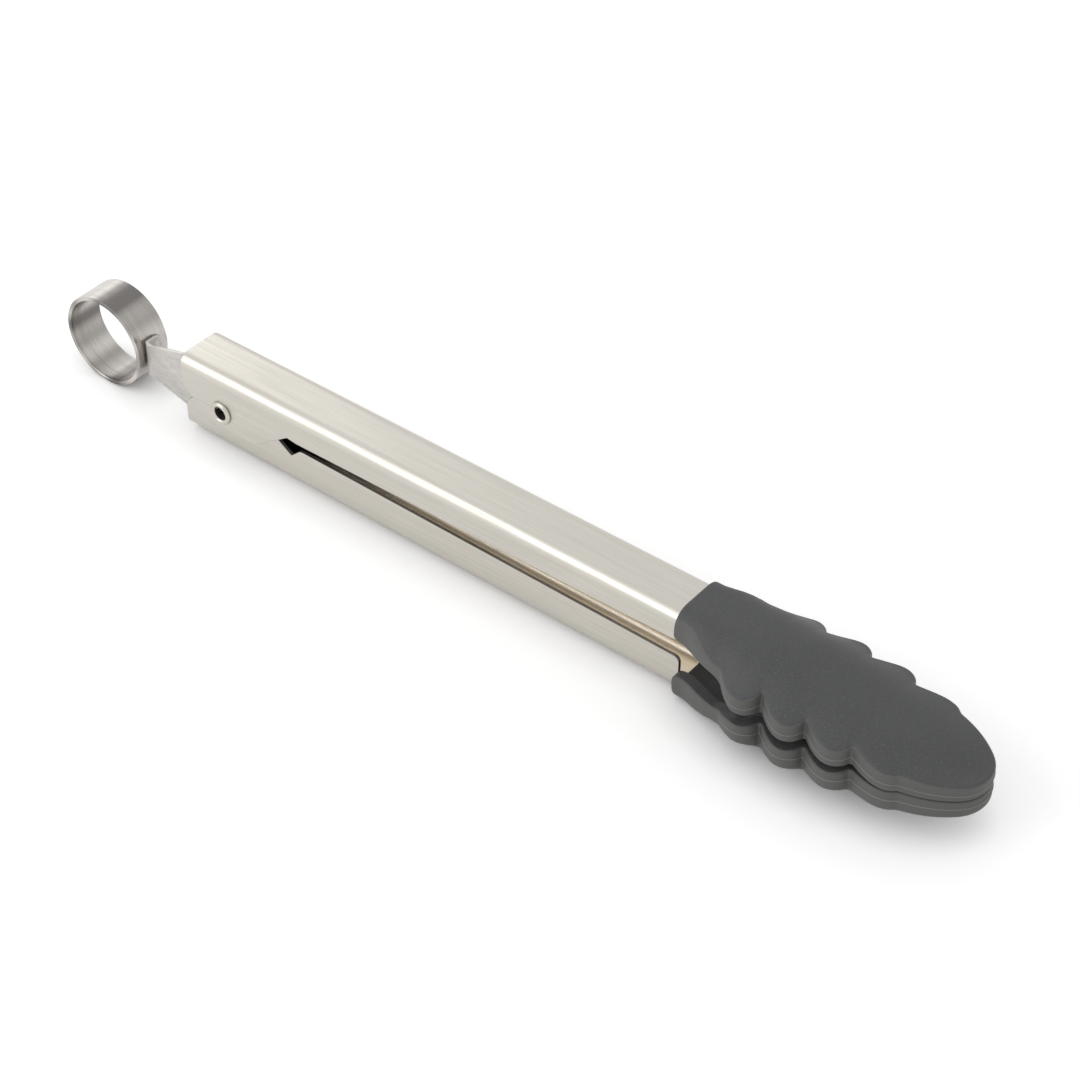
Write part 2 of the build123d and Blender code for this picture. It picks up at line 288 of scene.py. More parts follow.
class NodeTree:
    """The nodes of a material or a world, and short ways to add to them."""

    def __init__(self, owner, shader):
        owner.use_nodes = True
        self.nodes, self.links = owner.node_tree.nodes, owner.node_tree.links
        self.inputs = self.nodes[shader].inputs

    def feed(self, key, value):
        """Gives one of the shader's inputs a socket or a constant."""
        if isinstance(value, bpy.types.NodeSocket):
            self.links.new(value, self.inputs[key])
        else:
            self.inputs[key].default_value = value

    def own(self, name):
        """A node that reads one of the surface's own attributes."""
        source = self.nodes.new("ShaderNodeAttribute")
        source.attribute_name = name
        return source

    def place(self):
        """The surface's Object coordinates."""
        return self.nodes.new("ShaderNodeTexCoord").outputs["Object"]

    def noise(self, vector, stretch, detail, rough):
        """Noise read at the vector times stretch, in cycles per metre."""
        mapping = self.nodes.new("ShaderNodeMapping")
        mapping.inputs["Scale"].default_value = stretch
        self.links.new(vector, mapping.inputs["Vector"])
        grain = self.nodes.new("ShaderNodeTexNoise")
        for key, number in (("Scale", 1.0), ("Detail", detail), ("Roughness", rough)):
            grain.inputs[key].default_value = number
        self.links.new(mapping.outputs["Vector"], grain.inputs["Vector"])
        return grain.outputs["Fac"]

    def ranged(self, value, low, high, to_low, to_high):
        """A value's low to high carried to another range."""
        spread = self.nodes.new("ShaderNodeMapRange")
        for key, number in (("From Min", low), ("From Max", high), ("To Min", to_low), ("To Max", to_high)):
            spread.inputs[key].default_value = number
        self.links.new(value, spread.inputs["Value"])
        return spread.outputs["Result"]

    def scaled(self, value, most):
        """A value from 0 to 1 carried to 0 to most."""
        return self.ranged(value, 0.0, 1.0, 0.0, most)

    def joined(self, operation, *values):
        """Two values joined by a maths operation."""
        maths = self.nodes.new("ShaderNodeMath")
        maths.operation = operation
        for value, socket in zip(values, maths.inputs):
            self.links.new(value, socket)
        return maths.outputs[0]

    def mixed(self, share, first, second):
        """A colour between two, each a socket or a plain colour."""
        mix = self.nodes.new("ShaderNodeMix")
        mix.data_type = "RGBA"
        self.links.new(share, mix.inputs["Factor"])
        for key, colour in ((6, first), (7, second)):
            if isinstance(colour, bpy.types.NodeSocket):
                self.links.new(colour, mix.inputs[key])
            else:
                mix.inputs[key].default_value = (*colour, 1.0)
        return mix.outputs[2]

    def relief(self, height, distance, strength):
        """A fine relief on the shader's normal, its depth in millimetres."""
        bump = self.nodes.new("ShaderNodeBump")
        bump.inputs["Distance"].default_value = distance * MM
        bump.inputs["Strength"].default_value = strength
        self.links.new(height, bump.inputs["Height"])
        self.feed("Normal", bump.outputs["Normal"])

    def seen_directly(self):
        """1 for camera, glossy and transmission rays, and 0 for the rays that light the object."""
        path = self.nodes.new("ShaderNodeLightPath")
        total = path.outputs["Is Camera Ray"]
        for key in ("Is Glossy Ray", "Is Transmission Ray"):
            total = self.joined("MAXIMUM", total, path.outputs[key])
        return total


def new_material(name):
    """A plain material and its nodes."""
    material = bpy.data.materials.new(name)
    return material, NodeTree(material, "Principled BSDF")


def brushed_steel(name, pale, dark, roughness, streak, painted_shade=False, reflection_bands=0.0):
    """Steel brushed along x of its brush coordinates: fine lines over broad streaks, in colour, gloss and relief.
    The steel can also be painted dark: it is dull and dark where its deep attribute is 1, as painted shade where
    little light reaches.
    Reflection bands, in cycles per metre of x, are dark bands painted across the brush lines as reflections."""
    material, tree = new_material(name)
    vector = tree.own("brush").outputs["Vector"]
    fine = tree.noise(vector, FINE_LINES, 4.0, 0.65)
    broad = tree.noise(vector, BROAD_LINES, 3.0, 0.6)
    broad_share, low, high = 0.35, 0.36, 0.64
    lines = tree.joined("ADD", tree.scaled(broad, broad_share), tree.scaled(fine, 1.0 - broad_share))
    colour = tree.mixed(tree.ranged(lines, low, high, 0.0, streak), pale, dark)
    gloss = tree.ranged(lines, low, high, roughness - 0.05, roughness + 0.08)
    tree.feed("Metallic", 1.0)
    # Painted reflections: dark bands across the brush lines stand in for the dark surroundings that the polished
    # steel reflects.
    if reflection_bands:
        wave = tree.noise(vector, (reflection_bands, 0.0, 0.0), 1.0, 0.5)
        shade = tuple(0.3 * channel for channel in dark)
        colour = tree.mixed(tree.ranged(wave, 0.36, 0.60, 0.0, 0.95), colour, shade)
    # Painted shade: the deep attribute darkens and dulls the steel where little light reaches.
    if painted_shade:
        deep = tree.own("deep").outputs["Fac"]
        colour = tree.mixed(deep, colour, (0.02, 0.018, 0.016))
        gloss = tree.mixed(deep, gloss, (0.95, 0.95, 0.95))
        tree.feed("Metallic", tree.ranged(deep, 0.0, 1.0, 1.0, 0.0))
    tree.feed("Base Color", colour)
    tree.feed("Roughness", gloss)
    tree.relief(lines, 0.02, 0.35)
    return material


def silicone(name, body, speck):
    """Matte silicone: an even dark grey with a fine paler speckle and a soft cloud, paler on the flank as painted
    light, and a pale parting line that is a painted highlight on its ridge."""
    material, tree = new_material(name)
    vector = tree.place()
    fine = tree.noise(vector, (2400.0, 2400.0, 2400.0), 2.0, 0.6)
    cloud = tree.noise(vector, (60.0, 60.0, 60.0), 2.0, 0.5)
    colour = tree.mixed(tree.ranged(fine, 0.50, 0.74, 0.0, 1.0), body, speck)
    colour = tree.mixed(tree.ranged(cloud, 0.3, 0.7, 0.0, 0.25), colour, speck)
    # Painted light: the flank is painted paler, as the side that the lamp lights more, and the parting line pale, as
    # a painted highlight on its ridge.
    for key, most, pale in (("flank", 0.75, (0.115, 0.114, 0.108)), ("parting", 1.0, (0.34, 0.34, 0.325))):
        colour = tree.mixed(tree.scaled(tree.own(key).outputs["Fac"], most), colour, pale)
    tree.feed("Base Color", colour)
    tree.feed("Roughness", tree.ranged(fine, 0.3, 0.7, 0.50, 0.66))
    tree.feed("Specular IOR Level", 0.45)
    tree.relief(fine, 0.03, 0.25)
    return material


def moulded_nylon(name, body):
    """Plain moulded nylon with a faint flow mottle."""
    material, tree = new_material(name)
    mottle = tree.noise(tree.place(), (500.0, 500.0, 500.0), 3.0, 0.6)
    darker = tuple(0.82 * channel for channel in body)
    tree.feed("Base Color", tree.mixed(mottle, body, darker))
    tree.feed("Roughness", tree.ranged(mottle, 0.3, 0.7, 0.38, 0.5))
    tree.relief(mottle, 0.02, 0.2)
    return material


def strip_steel(name, pale, weld):
    """Plain strip: a faint random scratch grain, and a dark heat mark round the weld, at a point in metres."""
    material, tree = new_material(name)
    vector = tree.place()
    grain = tree.noise(vector, (300.0, 1500.0, 1500.0), 4.0, 0.65)
    rough = tree.noise(vector, (700.0, 700.0, 700.0), 4.0, 0.7)
    away = tree.nodes.new("ShaderNodeVectorMath")
    away.operation = "DISTANCE"
    away.inputs[1].default_value = weld
    tree.links.new(vector, away.inputs[0])
    darker = tuple(0.84 * channel for channel in pale)
    colour = tree.mixed(tree.ranged(grain, 0.35, 0.65, 0.0, 1.0), pale, darker)
    mark = tree.ranged(away.outputs["Value"], 0.0007, 0.0015, 0.85, 0.0)
    tree.feed("Base Color", tree.mixed(mark, colour, (0.12, 0.10, 0.085)))
    tree.feed("Roughness", tree.ranged(rough, 0.3, 0.7, 0.36, 0.52))
    tree.feed("Metallic", 1.0)
    tree.relief(rough, 0.03, 0.3)
    return material


def arm_wall(s, flange):
    """One side wall of an arm seen from the side, as (x, h) on a grid: rulings from the bend line down to
    the lower edge, upright along the flange and leaning back over the ear, drawn towards the shaped rear and
    front edges by a share that dies away along the arm. flange gives the height of the lower edge at the notch
    and at the head."""
    bend_line = s["web_height"] - s["bend_radius"]
    ear_low, lean_end, lean_front, rear_fade, front_fade = -4.9, 12.0, 10.0, 6.0, 2.0
    corners = [
        (-s["rear_reach"], bend_line),
        (-s["rear_reach"], 3.2),
        (-4.0, ear_low),
        (10.5, ear_low),
        (22.0, s["notch_height"]),
        (25.0, flange[0]),
        (s["arm_reach"], flange[1]),
        (s["arm_reach"], bend_line),
    ]
    corner_radii = (2.5, 4.0, 6.0, 0.6, 2.0, 1.5)
    path = rounded_path(corners, corner_radii, 0.35)
    heel, toe = (np.argmin(np.linalg.norm(path - corners[k], axis=1)) for k in (2, 6))
    lower = filled_in(path[heel : toe + 1], 0.8)
    down = np.linspace(0, 1, 15)
    rear = at_lengths(path[: heel + 1], down * run_length(path[: heel + 1])[-1])
    front = path[toe:][::-1]
    front = at_lengths(front, down * run_length(front)[-1])
    start, end = lower[0, 0], lower[-1, 0]
    behind = 1 - np.clip((lower[:, 0] - start) / (lean_end - start), 0, 1)
    ahead = 1 - np.clip((end - lower[:, 0]) / lean_front, 0, 1)
    along = lower[:, 0] - (s["rear_reach"] + start) * behind**2 + (s["arm_reach"] - end) * ahead**2
    upper = np.stack([along, np.full(len(along), bend_line)], axis=-1)
    ruled = upper[:, None] * (1 - down[:, None]) + lower[:, None] * down[:, None]
    near_rear = np.exp(-(upper[:, 0] + s["rear_reach"]) / rear_fade)[:, None, None]
    near_front = np.exp(-(s["arm_reach"] - upper[:, 0]) / front_fade)[:, None, None]
    return ruled + near_rear * (rear - ruled[0]) + near_front * (front - ruled[-1])


def arm_surface(s, width, flange):
    """Outside of a channel arm on a grid, along it and across it: near wall, quarter bend, web, quarter bend,
    far wall. Gives the points and their brush coordinates, x and the distance across."""
    wall = arm_wall(s, flange)
    half, bend, top = width / 2, s["bend_radius"], s["web_height"]
    angle = np.radians(np.linspace(0, 90, 9))[1:]
    web = np.linspace(-half + bend, half - bend, 9)[1:]
    over_y = np.concatenate([-half + bend * (1 - np.cos(angle)), web, half - bend * (1 - np.sin(angle))])
    over_h = np.concatenate([top - bend * (1 - np.sin(angle)), np.full(8, top), top - bend * (1 - np.cos(angle))])
    stations, deep = wall.shape[:2]
    ones = np.ones((stations, 1))
    x = np.concatenate([wall[:, ::-1, 0], wall[:, :1, 0] * np.ones(len(over_y)), wall[:, 1:, 0]], axis=1)
    y = np.concatenate([np.full((stations, deep), -half), ones * over_y, np.full((stations, deep - 1), half)], axis=1)
    h = np.concatenate([wall[:, ::-1, 1], ones * over_h, wall[:, 1:, 1]], axis=1)
    step_y, step_h = (np.diff(value, axis=1, prepend=value[:, :1]) for value in (y, h))
    across = np.cumsum(np.hypot(step_y, step_h), axis=1)
    across -= across[:, deep - 1 : deep]
    return x, y, h, np.stack([x, across, np.zeros_like(x)], axis=-1) * MM


class TONGS_OT_arms(bpy.types.Operator):
    """Folds the two channel arms from sheet, with ears, relief notches and rounded edges"""

    bl_idname = "tongs.arms"
    bl_label = "Arms"

    def execute(self, context):
        s = sizes_of(context.scene.tongs_arms)
        finishes = context.scene.tongs_finishes
        steel = brushed_steel("arm_steel", finishes.steel, finishes.steel_dark, 0.34, 0.55)
        inside = brushed_steel("arm_inside", finishes.inside, finishes.steel, 0.32, 0.2, painted_shade=True)
        # The cut edges' dark colour is partly the duller sheared steel and partly painted shade along the edges.
        cut = brushed_steel("arm_edge", finishes.cut, finishes.wire, 0.42, 0.5)
        hole_radius, shade_start, shade_end = 2.3, 20.0, 34.0
        for name, side, part in (("lower_arm", (0.0, -1), "lower"), ("upper_arm", (CLOSED_ANGLE, 1), "upper")):
            flange = (s[f"{part}_rear"], s[f"{part}_front"])
            x, y, h, brush = arm_surface(s, s[f"{part}_width"], flange)
            quads = grid_quads(*x.shape)
            bored = np.hypot(x.ravel()[quads].mean(1), h.ravel()[quads].mean(1)) < hole_radius
            # Painted shade: the inside of each arm is painted dark towards the pivot and the rear, as the shade
            # between the closed arms.
            painted_inside_shade = 1 - smooth_step(x, shade_start, shade_end)
            piece = new_piece(
                f"{name}_sheet",
                placed(side, x, y, h),
                quads[~bored],
                steel,
                [("brush", brush.reshape(-1, 3)), ("deep", painted_inside_shade.reshape(-1, 1))],
                flip=side[1] < 0,
            )
            wall = piece.modifiers.new("sheet", "SOLIDIFY")
            wall.thickness = s["sheet"] * MM
            wall.offset = -1.0
            wall.use_even_offset = True
            piece.data.materials.append(inside)
            piece.data.materials.append(cut)
            wall.material_offset = 1
            wall.material_offset_rim = 2
            bevel(piece, s["edge_round"]).material = 2
            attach(piece, name)
            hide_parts(name)
        return {"FINISHED"}


def softened(path, step, spread):
    """A path of even steps with each point replaced by the mean of its neighbours, weighted by a bell curve."""
    reach = np.arange(-round(3 * spread / step), round(3 * spread / step) + 1) * step
    weight = np.exp(-0.5 * (reach / spread) ** 2)
    return np.stack([np.convolve(path[:, k], weight / weight.sum(), "same") for k in (0, 1)], axis=-1)


def lobed_outline(s, neck, notches, swells):
    """Half of the head seen from above, from the sleeve's rear to the tip: a neck that widens, lobes that swell
    from one notch to the next by a sine of the share, leaning forward, and a tapering tip of two arcs. Gives the
    outline with its notches a little softened, and the same stations so softened that the lobes are gone."""
    lead_in, step, crisp, blurred = 30.0, 0.2, 0.6, 6.0
    neck, notches = np.asarray(neck, float), np.asarray(notches, float)
    runs = [np.array([(s["start"] - lead_in, s["sleeve_half"])]), neck]
    share = 0.5 - 0.5 * np.cos(np.linspace(0, pi, 61))[:, None]
    lean = np.abs(np.sin(pi * share**1.5)) ** 0.55
    for start, end, swell in zip(notches, notches[1:], swells):
        runs.append(start * (1 - share) + end * share + lean * (0.0, swell))
    turn = radians(50)
    away = np.array([cos(turn), sin(turn)])
    nose = np.array([s["reach"] - s["tip_radius"], 0.0])
    chord = notches[-1] - nose - s["tip_radius"] * away
    radius = chord @ chord / (-2 * chord @ away)
    centre = nose + (s["tip_radius"] - radius) * away
    fan = np.linspace(np.arctan2(*(notches[-1] - centre)[::-1]), turn, 40)[1:, None]
    runs.append(centre + radius * np.concatenate([np.cos(fan), np.sin(fan)], axis=1))
    fan = np.linspace(turn, 0, 40)[1:, None]
    runs.append(nose + s["tip_radius"] * np.concatenate([np.cos(fan), np.sin(fan)], axis=1))
    half = np.concatenate(runs)
    whole = np.concatenate([half, half[-2::-1] * (1, -1)])
    count = 2 * round(run_length(half)[-1] / step) + 1
    lengths = np.linspace(0, run_length(whole)[-1], count)
    even = at_lengths(whole, lengths)
    fine, broad = (softened(even, lengths[1], spread) for spread in (crisp, blurred))
    kept = (fine[:, 0] > s["start"]) & (np.arange(count) <= count // 2)
    fine[count // 2, 1] = 0.0
    return fine[kept], broad[kept]


class HeadForm:
    """Plan and dome of a head, in millimetres along its rim, across it and outward of it: stations along the
    lobed outline, and for each of them a line from the middle of the head to the outline."""

    lip = 0.55
    fin = 0.16
    # From the sleeve's rear edge: where its flat top and its raised edge end, and where the parting line starts.
    sleeve_end = (4.0, 14.0)
    skirt_end = (13.0, 21.5)
    parting_start = (16.0, 20.0)
    # From the pivot: where the rim sags shut, and where the middle of the fan of lines moves back from the outline.
    sag_along = (186.0, 204.0)
    fan_start = 190.0
    # The dome: its crown, counted back from the tip, and the edge and the power of its fall, along the head.
    crown_back, crown = (74.0, 48.0, 23.0, -1.0), (10.95, 11.15, 8.4, 5.0)
    edge_along = (140.0, 152.0, 160.0, 172.0, 184.0, 196.0, 218.0)
    edge_height = (5.5, 5.4, 5.0, 5.4, 5.3, 5.0, 4.3)
    power_along, power = (150.0, 160.0, 175.0, 195.0, 218.0), (4.4, 3.0, 2.6, 2.5, 2.2)
    lobe_share, fullness, fall = 0.1, 1.08, 1.6

    def __init__(self, s, neck, notches, swells):
        self.s = s
        outline, broad = lobed_outline(s, neck, notches, swells)
        tangent = np.gradient(outline, axis=0)
        tangent /= np.linalg.norm(tangent, axis=1)[:, None]
        inward = np.stack([tangent[:, 1], -tangent[:, 0]], axis=-1)
        inward[-1] = (-1, 0)
        turn = np.radians(np.linspace(90, 0, 6))
        rear = np.stack([s["start"] + self.lip * (1 - np.sin(turn)), np.full(6, s["sleeve_half"])], axis=-1)
        keep = outline[:, 0] > s["start"] + self.lip + 0.05
        outline = np.concatenate([rear, outline[keep]])
        broad = np.concatenate([rear, broad[keep]])
        self.inward = np.concatenate([np.tile([0.0, -1.0], (6, 1)), inward[keep]])
        self.pinch = np.concatenate([self.lip * (1 - np.cos(turn)), np.zeros(keep.sum())])[:, None]
        self.x, self.y = outline[:, :1], outline[:, 1:]
        self.spine = self.x - 10.0 * (np.maximum(self.x - self.fan_start, 0) / (s["reach"] - self.fan_start)) ** 2
        plain = (1 - self.lobe_share) * broad + self.lobe_share * outline
        self.size = np.hypot(plain[:, :1] - self.spine, plain[:, 1:])
        self.sleeve = 1 - self.past(self.x, self.sleeve_end)
        self.parted = self.past(self.x, self.parting_start)
        self.top_round = s["top_round"] + (s["sleeve_round"] - s["top_round"]) * self.sleeve
        skirt = s["sleeve_edge"] * (1 - self.past(self.x, self.skirt_end))
        sag = (0.12 + (s["reach"] - self.x) * sin(radians(RIM_OPENING))) * smooth_step(self.x, *self.sag_along)
        corner = 1.2 * np.exp(-(self.x - s["start"]) / 1.2)
        self.edge = skirt - sag + corner + self.pinch

    def past(self, x, span):
        """0 before a span, counted from the sleeve's rear edge, and 1 after it."""
        return smooth_step(x, self.s["start"] + span[0], self.s["start"] + span[1])

    def at_depth(self, depth):
        """Plan points a depth inside the outline."""
        depth = depth + self.fin
        return self.x + self.inward[:, :1] * depth, self.y + self.inward[:, 1:] * depth

    def from_spine(self, depth, share):
        """Plan points from the middle line, at share 0, to a depth inside the outline, at share 1."""
        x, y = self.at_depth(depth)
        return self.spine + (x - self.spine) * share, y * share

    def top(self, x, y):
        """Height of the top: the sleeve's flat top, passing smoothly into a dome. From its crown the dome falls as
        a power of the distance from the middle, down to its edge height at the crests of the lobes. It is smooth
        over the notches, which cut into it from the side."""
        s = self.s
        crown = np.polyval(np.polyfit(self.crown_back, self.crown, 3), s["reach"] - x)
        edge = np.interp(self.x, self.edge_along, self.edge_height)
        power = np.interp(self.x, self.power_along, self.power)
        away = np.minimum(np.hypot(x - self.spine, y) / (self.fullness * self.size), 1.0)
        dome = edge + (crown - edge) * (1 - away**power) ** self.fall
        opened = s["rim_gap"] / 2 + (s["reach"] - x) * tan(radians(RIM_OPENING))
        flat = s["sleeve_height"] + x * tan(radians(CLOSED_ANGLE / 2)) - opened
        share = self.past(x, self.sleeve_end)
        return flat * (1 - share) + dome * share

    def placed(self, outward, x, y, h):
        """Points turned into the frame: the rim opens from the tip towards the arm."""
        reach, opening = self.s["reach"], radians(RIM_OPENING)
        along = reach + (x - reach) * cos(opening) + h * sin(opening)
        out = self.s["rim_gap"] / 2 - (x - reach) * sin(opening) + h * cos(opening)
        return placed((CLOSED_ANGLE / 2, outward), along, y, out)


def head_surface(form):
    """Half of a head on a grid: stations along the lobed outline, and round each the profile from the middle
    of the dome over the rounded top edge, down the flank with its parting line, across the rim, up the hollow's
    wall and along its roof to the middle. The rear stations are pinched in to a rounded lip."""
    s, pinch, edge, sleeve = form.s, form.pinch, form.edge, form.sleeve
    hollow_round, least_wall = 0.5, 1.1
    flank_rows, parting_row = slice(26, 42), 33
    dome_share = 1 - (1 - np.linspace(0, 1, 21)) ** 1.3
    rows = []
    x, y = form.from_spine(form.top_round + pinch, dome_share)
    rows.append((x, y, form.top(x, y) - pinch))
    roll = np.radians(np.linspace(0, 90, 10))[1:]
    x, y = form.at_depth(pinch + form.top_round * (1 - np.sin(roll)))
    rows.append((x, y, form.top(x, y) - pinch - form.top_round * (1 - np.cos(roll))))
    flank_top = rows[-1][2][:, -1:]
    flank_low = edge + s["rim_round"]
    part = flank_low + np.minimum((flank_top - flank_low) * 0.42, 2.0)
    fin = form.fin * form.parted
    step_up = np.array([0.9, 0.35, 0.12, 0.0, -0.12, -0.35, -0.9])
    step_out = np.array([0.0, 0.0, 0.2, 1.0, 0.1, -0.5, -0.5])
    reach = np.minimum((flank_top - flank_low) * 0.3, 1.0)
    x, y = form.at_depth(pinch - fin * step_out)
    rows.append((x, y, part + reach * step_up))
    roll = np.radians(np.linspace(0, 90, 6))
    x, y = form.at_depth(pinch + s["rim_round"] * (1 - np.cos(roll)) + 0.5 * fin)
    rows.append((x, y, edge + s["rim_round"] * (1 - np.sin(roll))))
    land = s["rim_land"] - pinch
    low = s["rim_round"] + pinch
    x, y = form.at_depth(low + (land - hollow_round - low) * np.array([0.5]))
    rows.append((x, y, edge + 0 * x))
    roll = np.radians(np.linspace(0, 90, 5))
    x, y = form.at_depth(land - hollow_round * (1 - np.sin(roll)))
    rows.append((x, y, edge + hollow_round * (1 - np.cos(roll))))
    roof_round = 0.9 + 1.0 * sleeve
    drop = s["shell"] + 0.5 * sleeve - pinch
    x, y = form.at_depth(land + roof_round)
    roof_edge = np.maximum(form.top(x, y) - drop, edge + least_wall + roof_round)
    lift = roof_edge - form.top(x, y) + drop
    wall_low = edge + hollow_round
    share = np.linspace(0, 1, 8)[1:]
    x, y = form.at_depth(land + 0 * share)
    rows.append((x, y, wall_low + (roof_edge - roof_round - wall_low) * share))
    roll = np.radians(np.linspace(0, 90, 9))[1:]
    x, y = form.at_depth(land + roof_round * (1 - np.cos(roll)))
    rows.append((x, y, roof_edge - roof_round * (1 - np.sin(roll))))
    inner_share = dome_share[::-1][1:]
    x, y = form.from_spine(land + roof_round, inner_share)
    rows.append((x, y, form.top(x, y) - drop + lift * inner_share**2))
    x, y, h = (np.concatenate(values, axis=1) for values in zip(*(np.broadcast_arrays(*row) for row in rows)))
    line, flank = np.zeros(x.shape), np.zeros(x.shape)
    # The parting row is painted pale, as a painted highlight on the mould's ridge.
    line[:, parting_row] = 0.8
    line *= form.parted
    # The flank rows are painted paler, as painted light.
    flank[:, flank_rows] = 1.0
    return x, np.maximum(y, 0), h, line, flank


def core_surface(form):
    """Half of a stiffener on a grid: a plate that follows the dome a little below it, from the middle to an edge
    well inside the outline and back along its underside."""
    inset, below, thickness, rear = 3.4, 1.2, 1.2, 10.0
    share = np.linspace(0, 1, 15)
    x, y = form.from_spine(inset, share)
    top = form.top(x, y) - below - 0.3 * share**8
    under = top - thickness
    x, y, h = (np.concatenate([over, back[:, ::-1]], axis=1) for over, back in ((x, x), (y, y), (top, under)))
    kept = form.x[:, 0] > form.s["start"] + rear
    return x[kept], np.maximum(y[kept], 0), h[kept]


def both_halves(form, outward, x, y, h):
    """Points and quads of a half surface and its mirror image, closed at the rear station."""
    stations, around = x.shape
    down = np.arange(around // 2 - 1)
    up = around - 1 - down
    cap = np.stack([down, down + 1, up - 1, up], axis=-1)
    half = np.concatenate([grid_quads(stations, around), cap])
    points = np.concatenate([form.placed(outward, x, y, h), form.placed(outward, x, -y, h)])
    return points, np.concatenate([half, half[:, ::-1] + stations * around])


class TONGS_OT_heads(bpy.types.Operator):
    """Moulds the two scalloped silicone heads, each with its sleeve, parting line, hollow and stiffener"""

    bl_idname = "tongs.heads"
    bl_label = "Heads"

    def execute(self, context):
        finishes = context.scene.tongs_finishes
        rubber = silicone("head_silicone", finishes.silicone, finishes.silicone_pale)
        nylon = moulded_nylon("core_nylon", tuple(0.2 * channel for channel in finishes.nylon))
        s = sizes_of(context.scene.tongs_heads)
        half, last = s["sleeve_half"], s["reach"] - s["tip_length"]
        neck = [(142.0, half), (144.0, half + 0.5), (147.0, 10.4), (150.0, 11.4), (153.0, 12.1)]
        notches = [(155.5, 12.6)]
        notches += [(last - back * s["lobe_pitch"], wide) for back, wide in ((3, 12.0), (2, 12.5), (1, 12.3))]
        notches.append((last, s["tip_half"]))
        swells = (4.2, 4.5, 4.0, 2.0)
        form = HeadForm(s, neck, notches, swells)
        x, y, h, *marks = head_surface(form)
        # The parting mark is a painted highlight and the flank mark is painted light.
        marks = [(key, np.tile(mark, (2, 1)).reshape(-1, 1)) for key, mark in zip(("parting", "flank"), marks)]
        for name, outward in (("lower_arm", -1), ("upper_arm", 1)):
            skin, core = name.replace("arm", "head_skin"), name.replace("arm", "head_core")
            points, quads = both_halves(form, outward, x, y, h)
            moulding = new_piece(f"{skin}_moulding", points, quads, rubber, marks)
            points, quads = both_halves(form, outward, *core_surface(form))
            plate = new_piece(f"{core}_plate", points, quads, nylon)
            for piece, node in ((moulding, skin), (plate, core)):
                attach(piece, name)
                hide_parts(node)
        return {"FINISHED"}


def turned(profile, centre, segments):
    """A profile of (distance along Y, radius) carried round the Y axis through centre. Gives the points and
    their brush coordinates, the distance round and the distance along the profile."""
    angle = np.linspace(0, 2 * pi, segments, endpoint=False)[:, None]
    y, radius = profile[None, :, 0], profile[None, :, 1]
    points = np.stack(
        [centre[0] + radius * np.cos(angle), centre[1] + y + 0 * angle, centre[2] + radius * np.sin(angle)], axis=-1
    )
    brush = np.stack([angle * profile[:, 1].max() + 0 * y, run_length(profile) + 0 * angle, 0 * y * angle], axis=-1)
    return points, brush * MM


class TONGS_OT_ring(bpy.types.Operator):
    """Rolls the plain band of the pull ring, brushed round its length"""

    bl_idname = "tongs.ring"
    bl_label = "Pull ring"

    def execute(self, context):
        s = sizes_of(context.scene.tongs_hardware)
        finishes = context.scene.tongs_finishes
        half, outer, inner = s["ring_width"] / 2, s["ring_radius"], s["ring_radius"] - s["ring_wall"]
        band = [(0, outer), (half, outer), (half, inner), (-half, inner), (-half, outer), (0, outer)]
        profile = filled_in(rounded_path(band, [s["ring_edge"]] * 4, 0.08), 1.0)[:-1]
        centre = (PIVOT[0] - s["ring_reach"], 0.0, s["ring_radius"])
        points, brush = turned(profile, centre, 160)
        dark = tuple(0.72 * channel for channel in finishes.ring)
        # The ring's dark bands are painted reflections.
        steel = brushed_steel("ring_steel", finishes.ring, dark, 0.26, 0.9, reflection_bands=90.0)
        piece = new_piece(
            "pull_ring_band",
            points,
            grid_quads(*points.shape[:2], wrap_rows=True, wrap_columns=True),
            steel,
            [("brush", brush.reshape(-1, 3))],
        )
        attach(piece, "lock")
        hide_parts("pull_ring")
        return {"FINISHED"}


class TONGS_OT_rivet(bpy.types.Operator):
    """Turns the hollow rivet, with its rolled rim on the near side and a low head on the far side"""

    bl_idname = "tongs.rivet"
    bl_label = "Pivot rivet"

    def execute(self, context):
        s = sizes_of(context.scene.tongs_hardware)
        width = context.scene.tongs_arms.upper_width / MM
        play, bore_depth, head_height = 0.1, 8.0, 1.1
        near, far = -width / 2 - play, width / 2 + play
        bore, rim, shank = s["rivet_bore"], s["rim_radius"], s["rivet_radius"]
        roll = np.radians(np.linspace(0, 180, 19))
        middle, half = (bore + rim) / 2, (rim - bore) / 2
        lip = np.stack([near - s["rim_height"] * np.sin(roll), middle - half * np.cos(roll)], axis=-1)
        bottom = near + bore_depth
        hole = [(bottom, 0.0), (bottom, bore * 0.5), (bottom, bore - 0.2), (bottom - 0.2, bore), (near + 2.0, bore)]
        head = rounded_path([(far, rim), (far + head_height, rim), (far + head_height, 0.0)], [0.45], 0.08)
        body = [(near, shank), (near + play, shank), (far - play, shank), (far, shank)]
        profile = np.concatenate([hole, lip, body, head])
        points, brush = turned(profile, PIVOT, 72)
        # Painted shade: the bore and the inner side of the rolled lip are painted dark, as the shade down the hole
        # that light does not reach.
        deep = np.zeros(len(profile))
        deep[: len(hole) + 3] = 1.0
        deep = np.broadcast_to(deep, points.shape[:2]).reshape(-1, 1)
        finishes = context.scene.tongs_finishes
        steel = brushed_steel("rivet_steel", finishes.steel, finishes.steel_dark, 0.24, 0.5, painted_shade=True)
        piece = new_piece(
            "pivot_rivet_shank",
            points,
            grid_quads(*points.shape[:2], wrap_rows=True),
            steel,
            [("brush", brush.reshape(-1, 3)), ("deep", deep)],
        )
        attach(piece, "pivot")
        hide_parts("pivot_rivet")
        return {"FINISHED"}


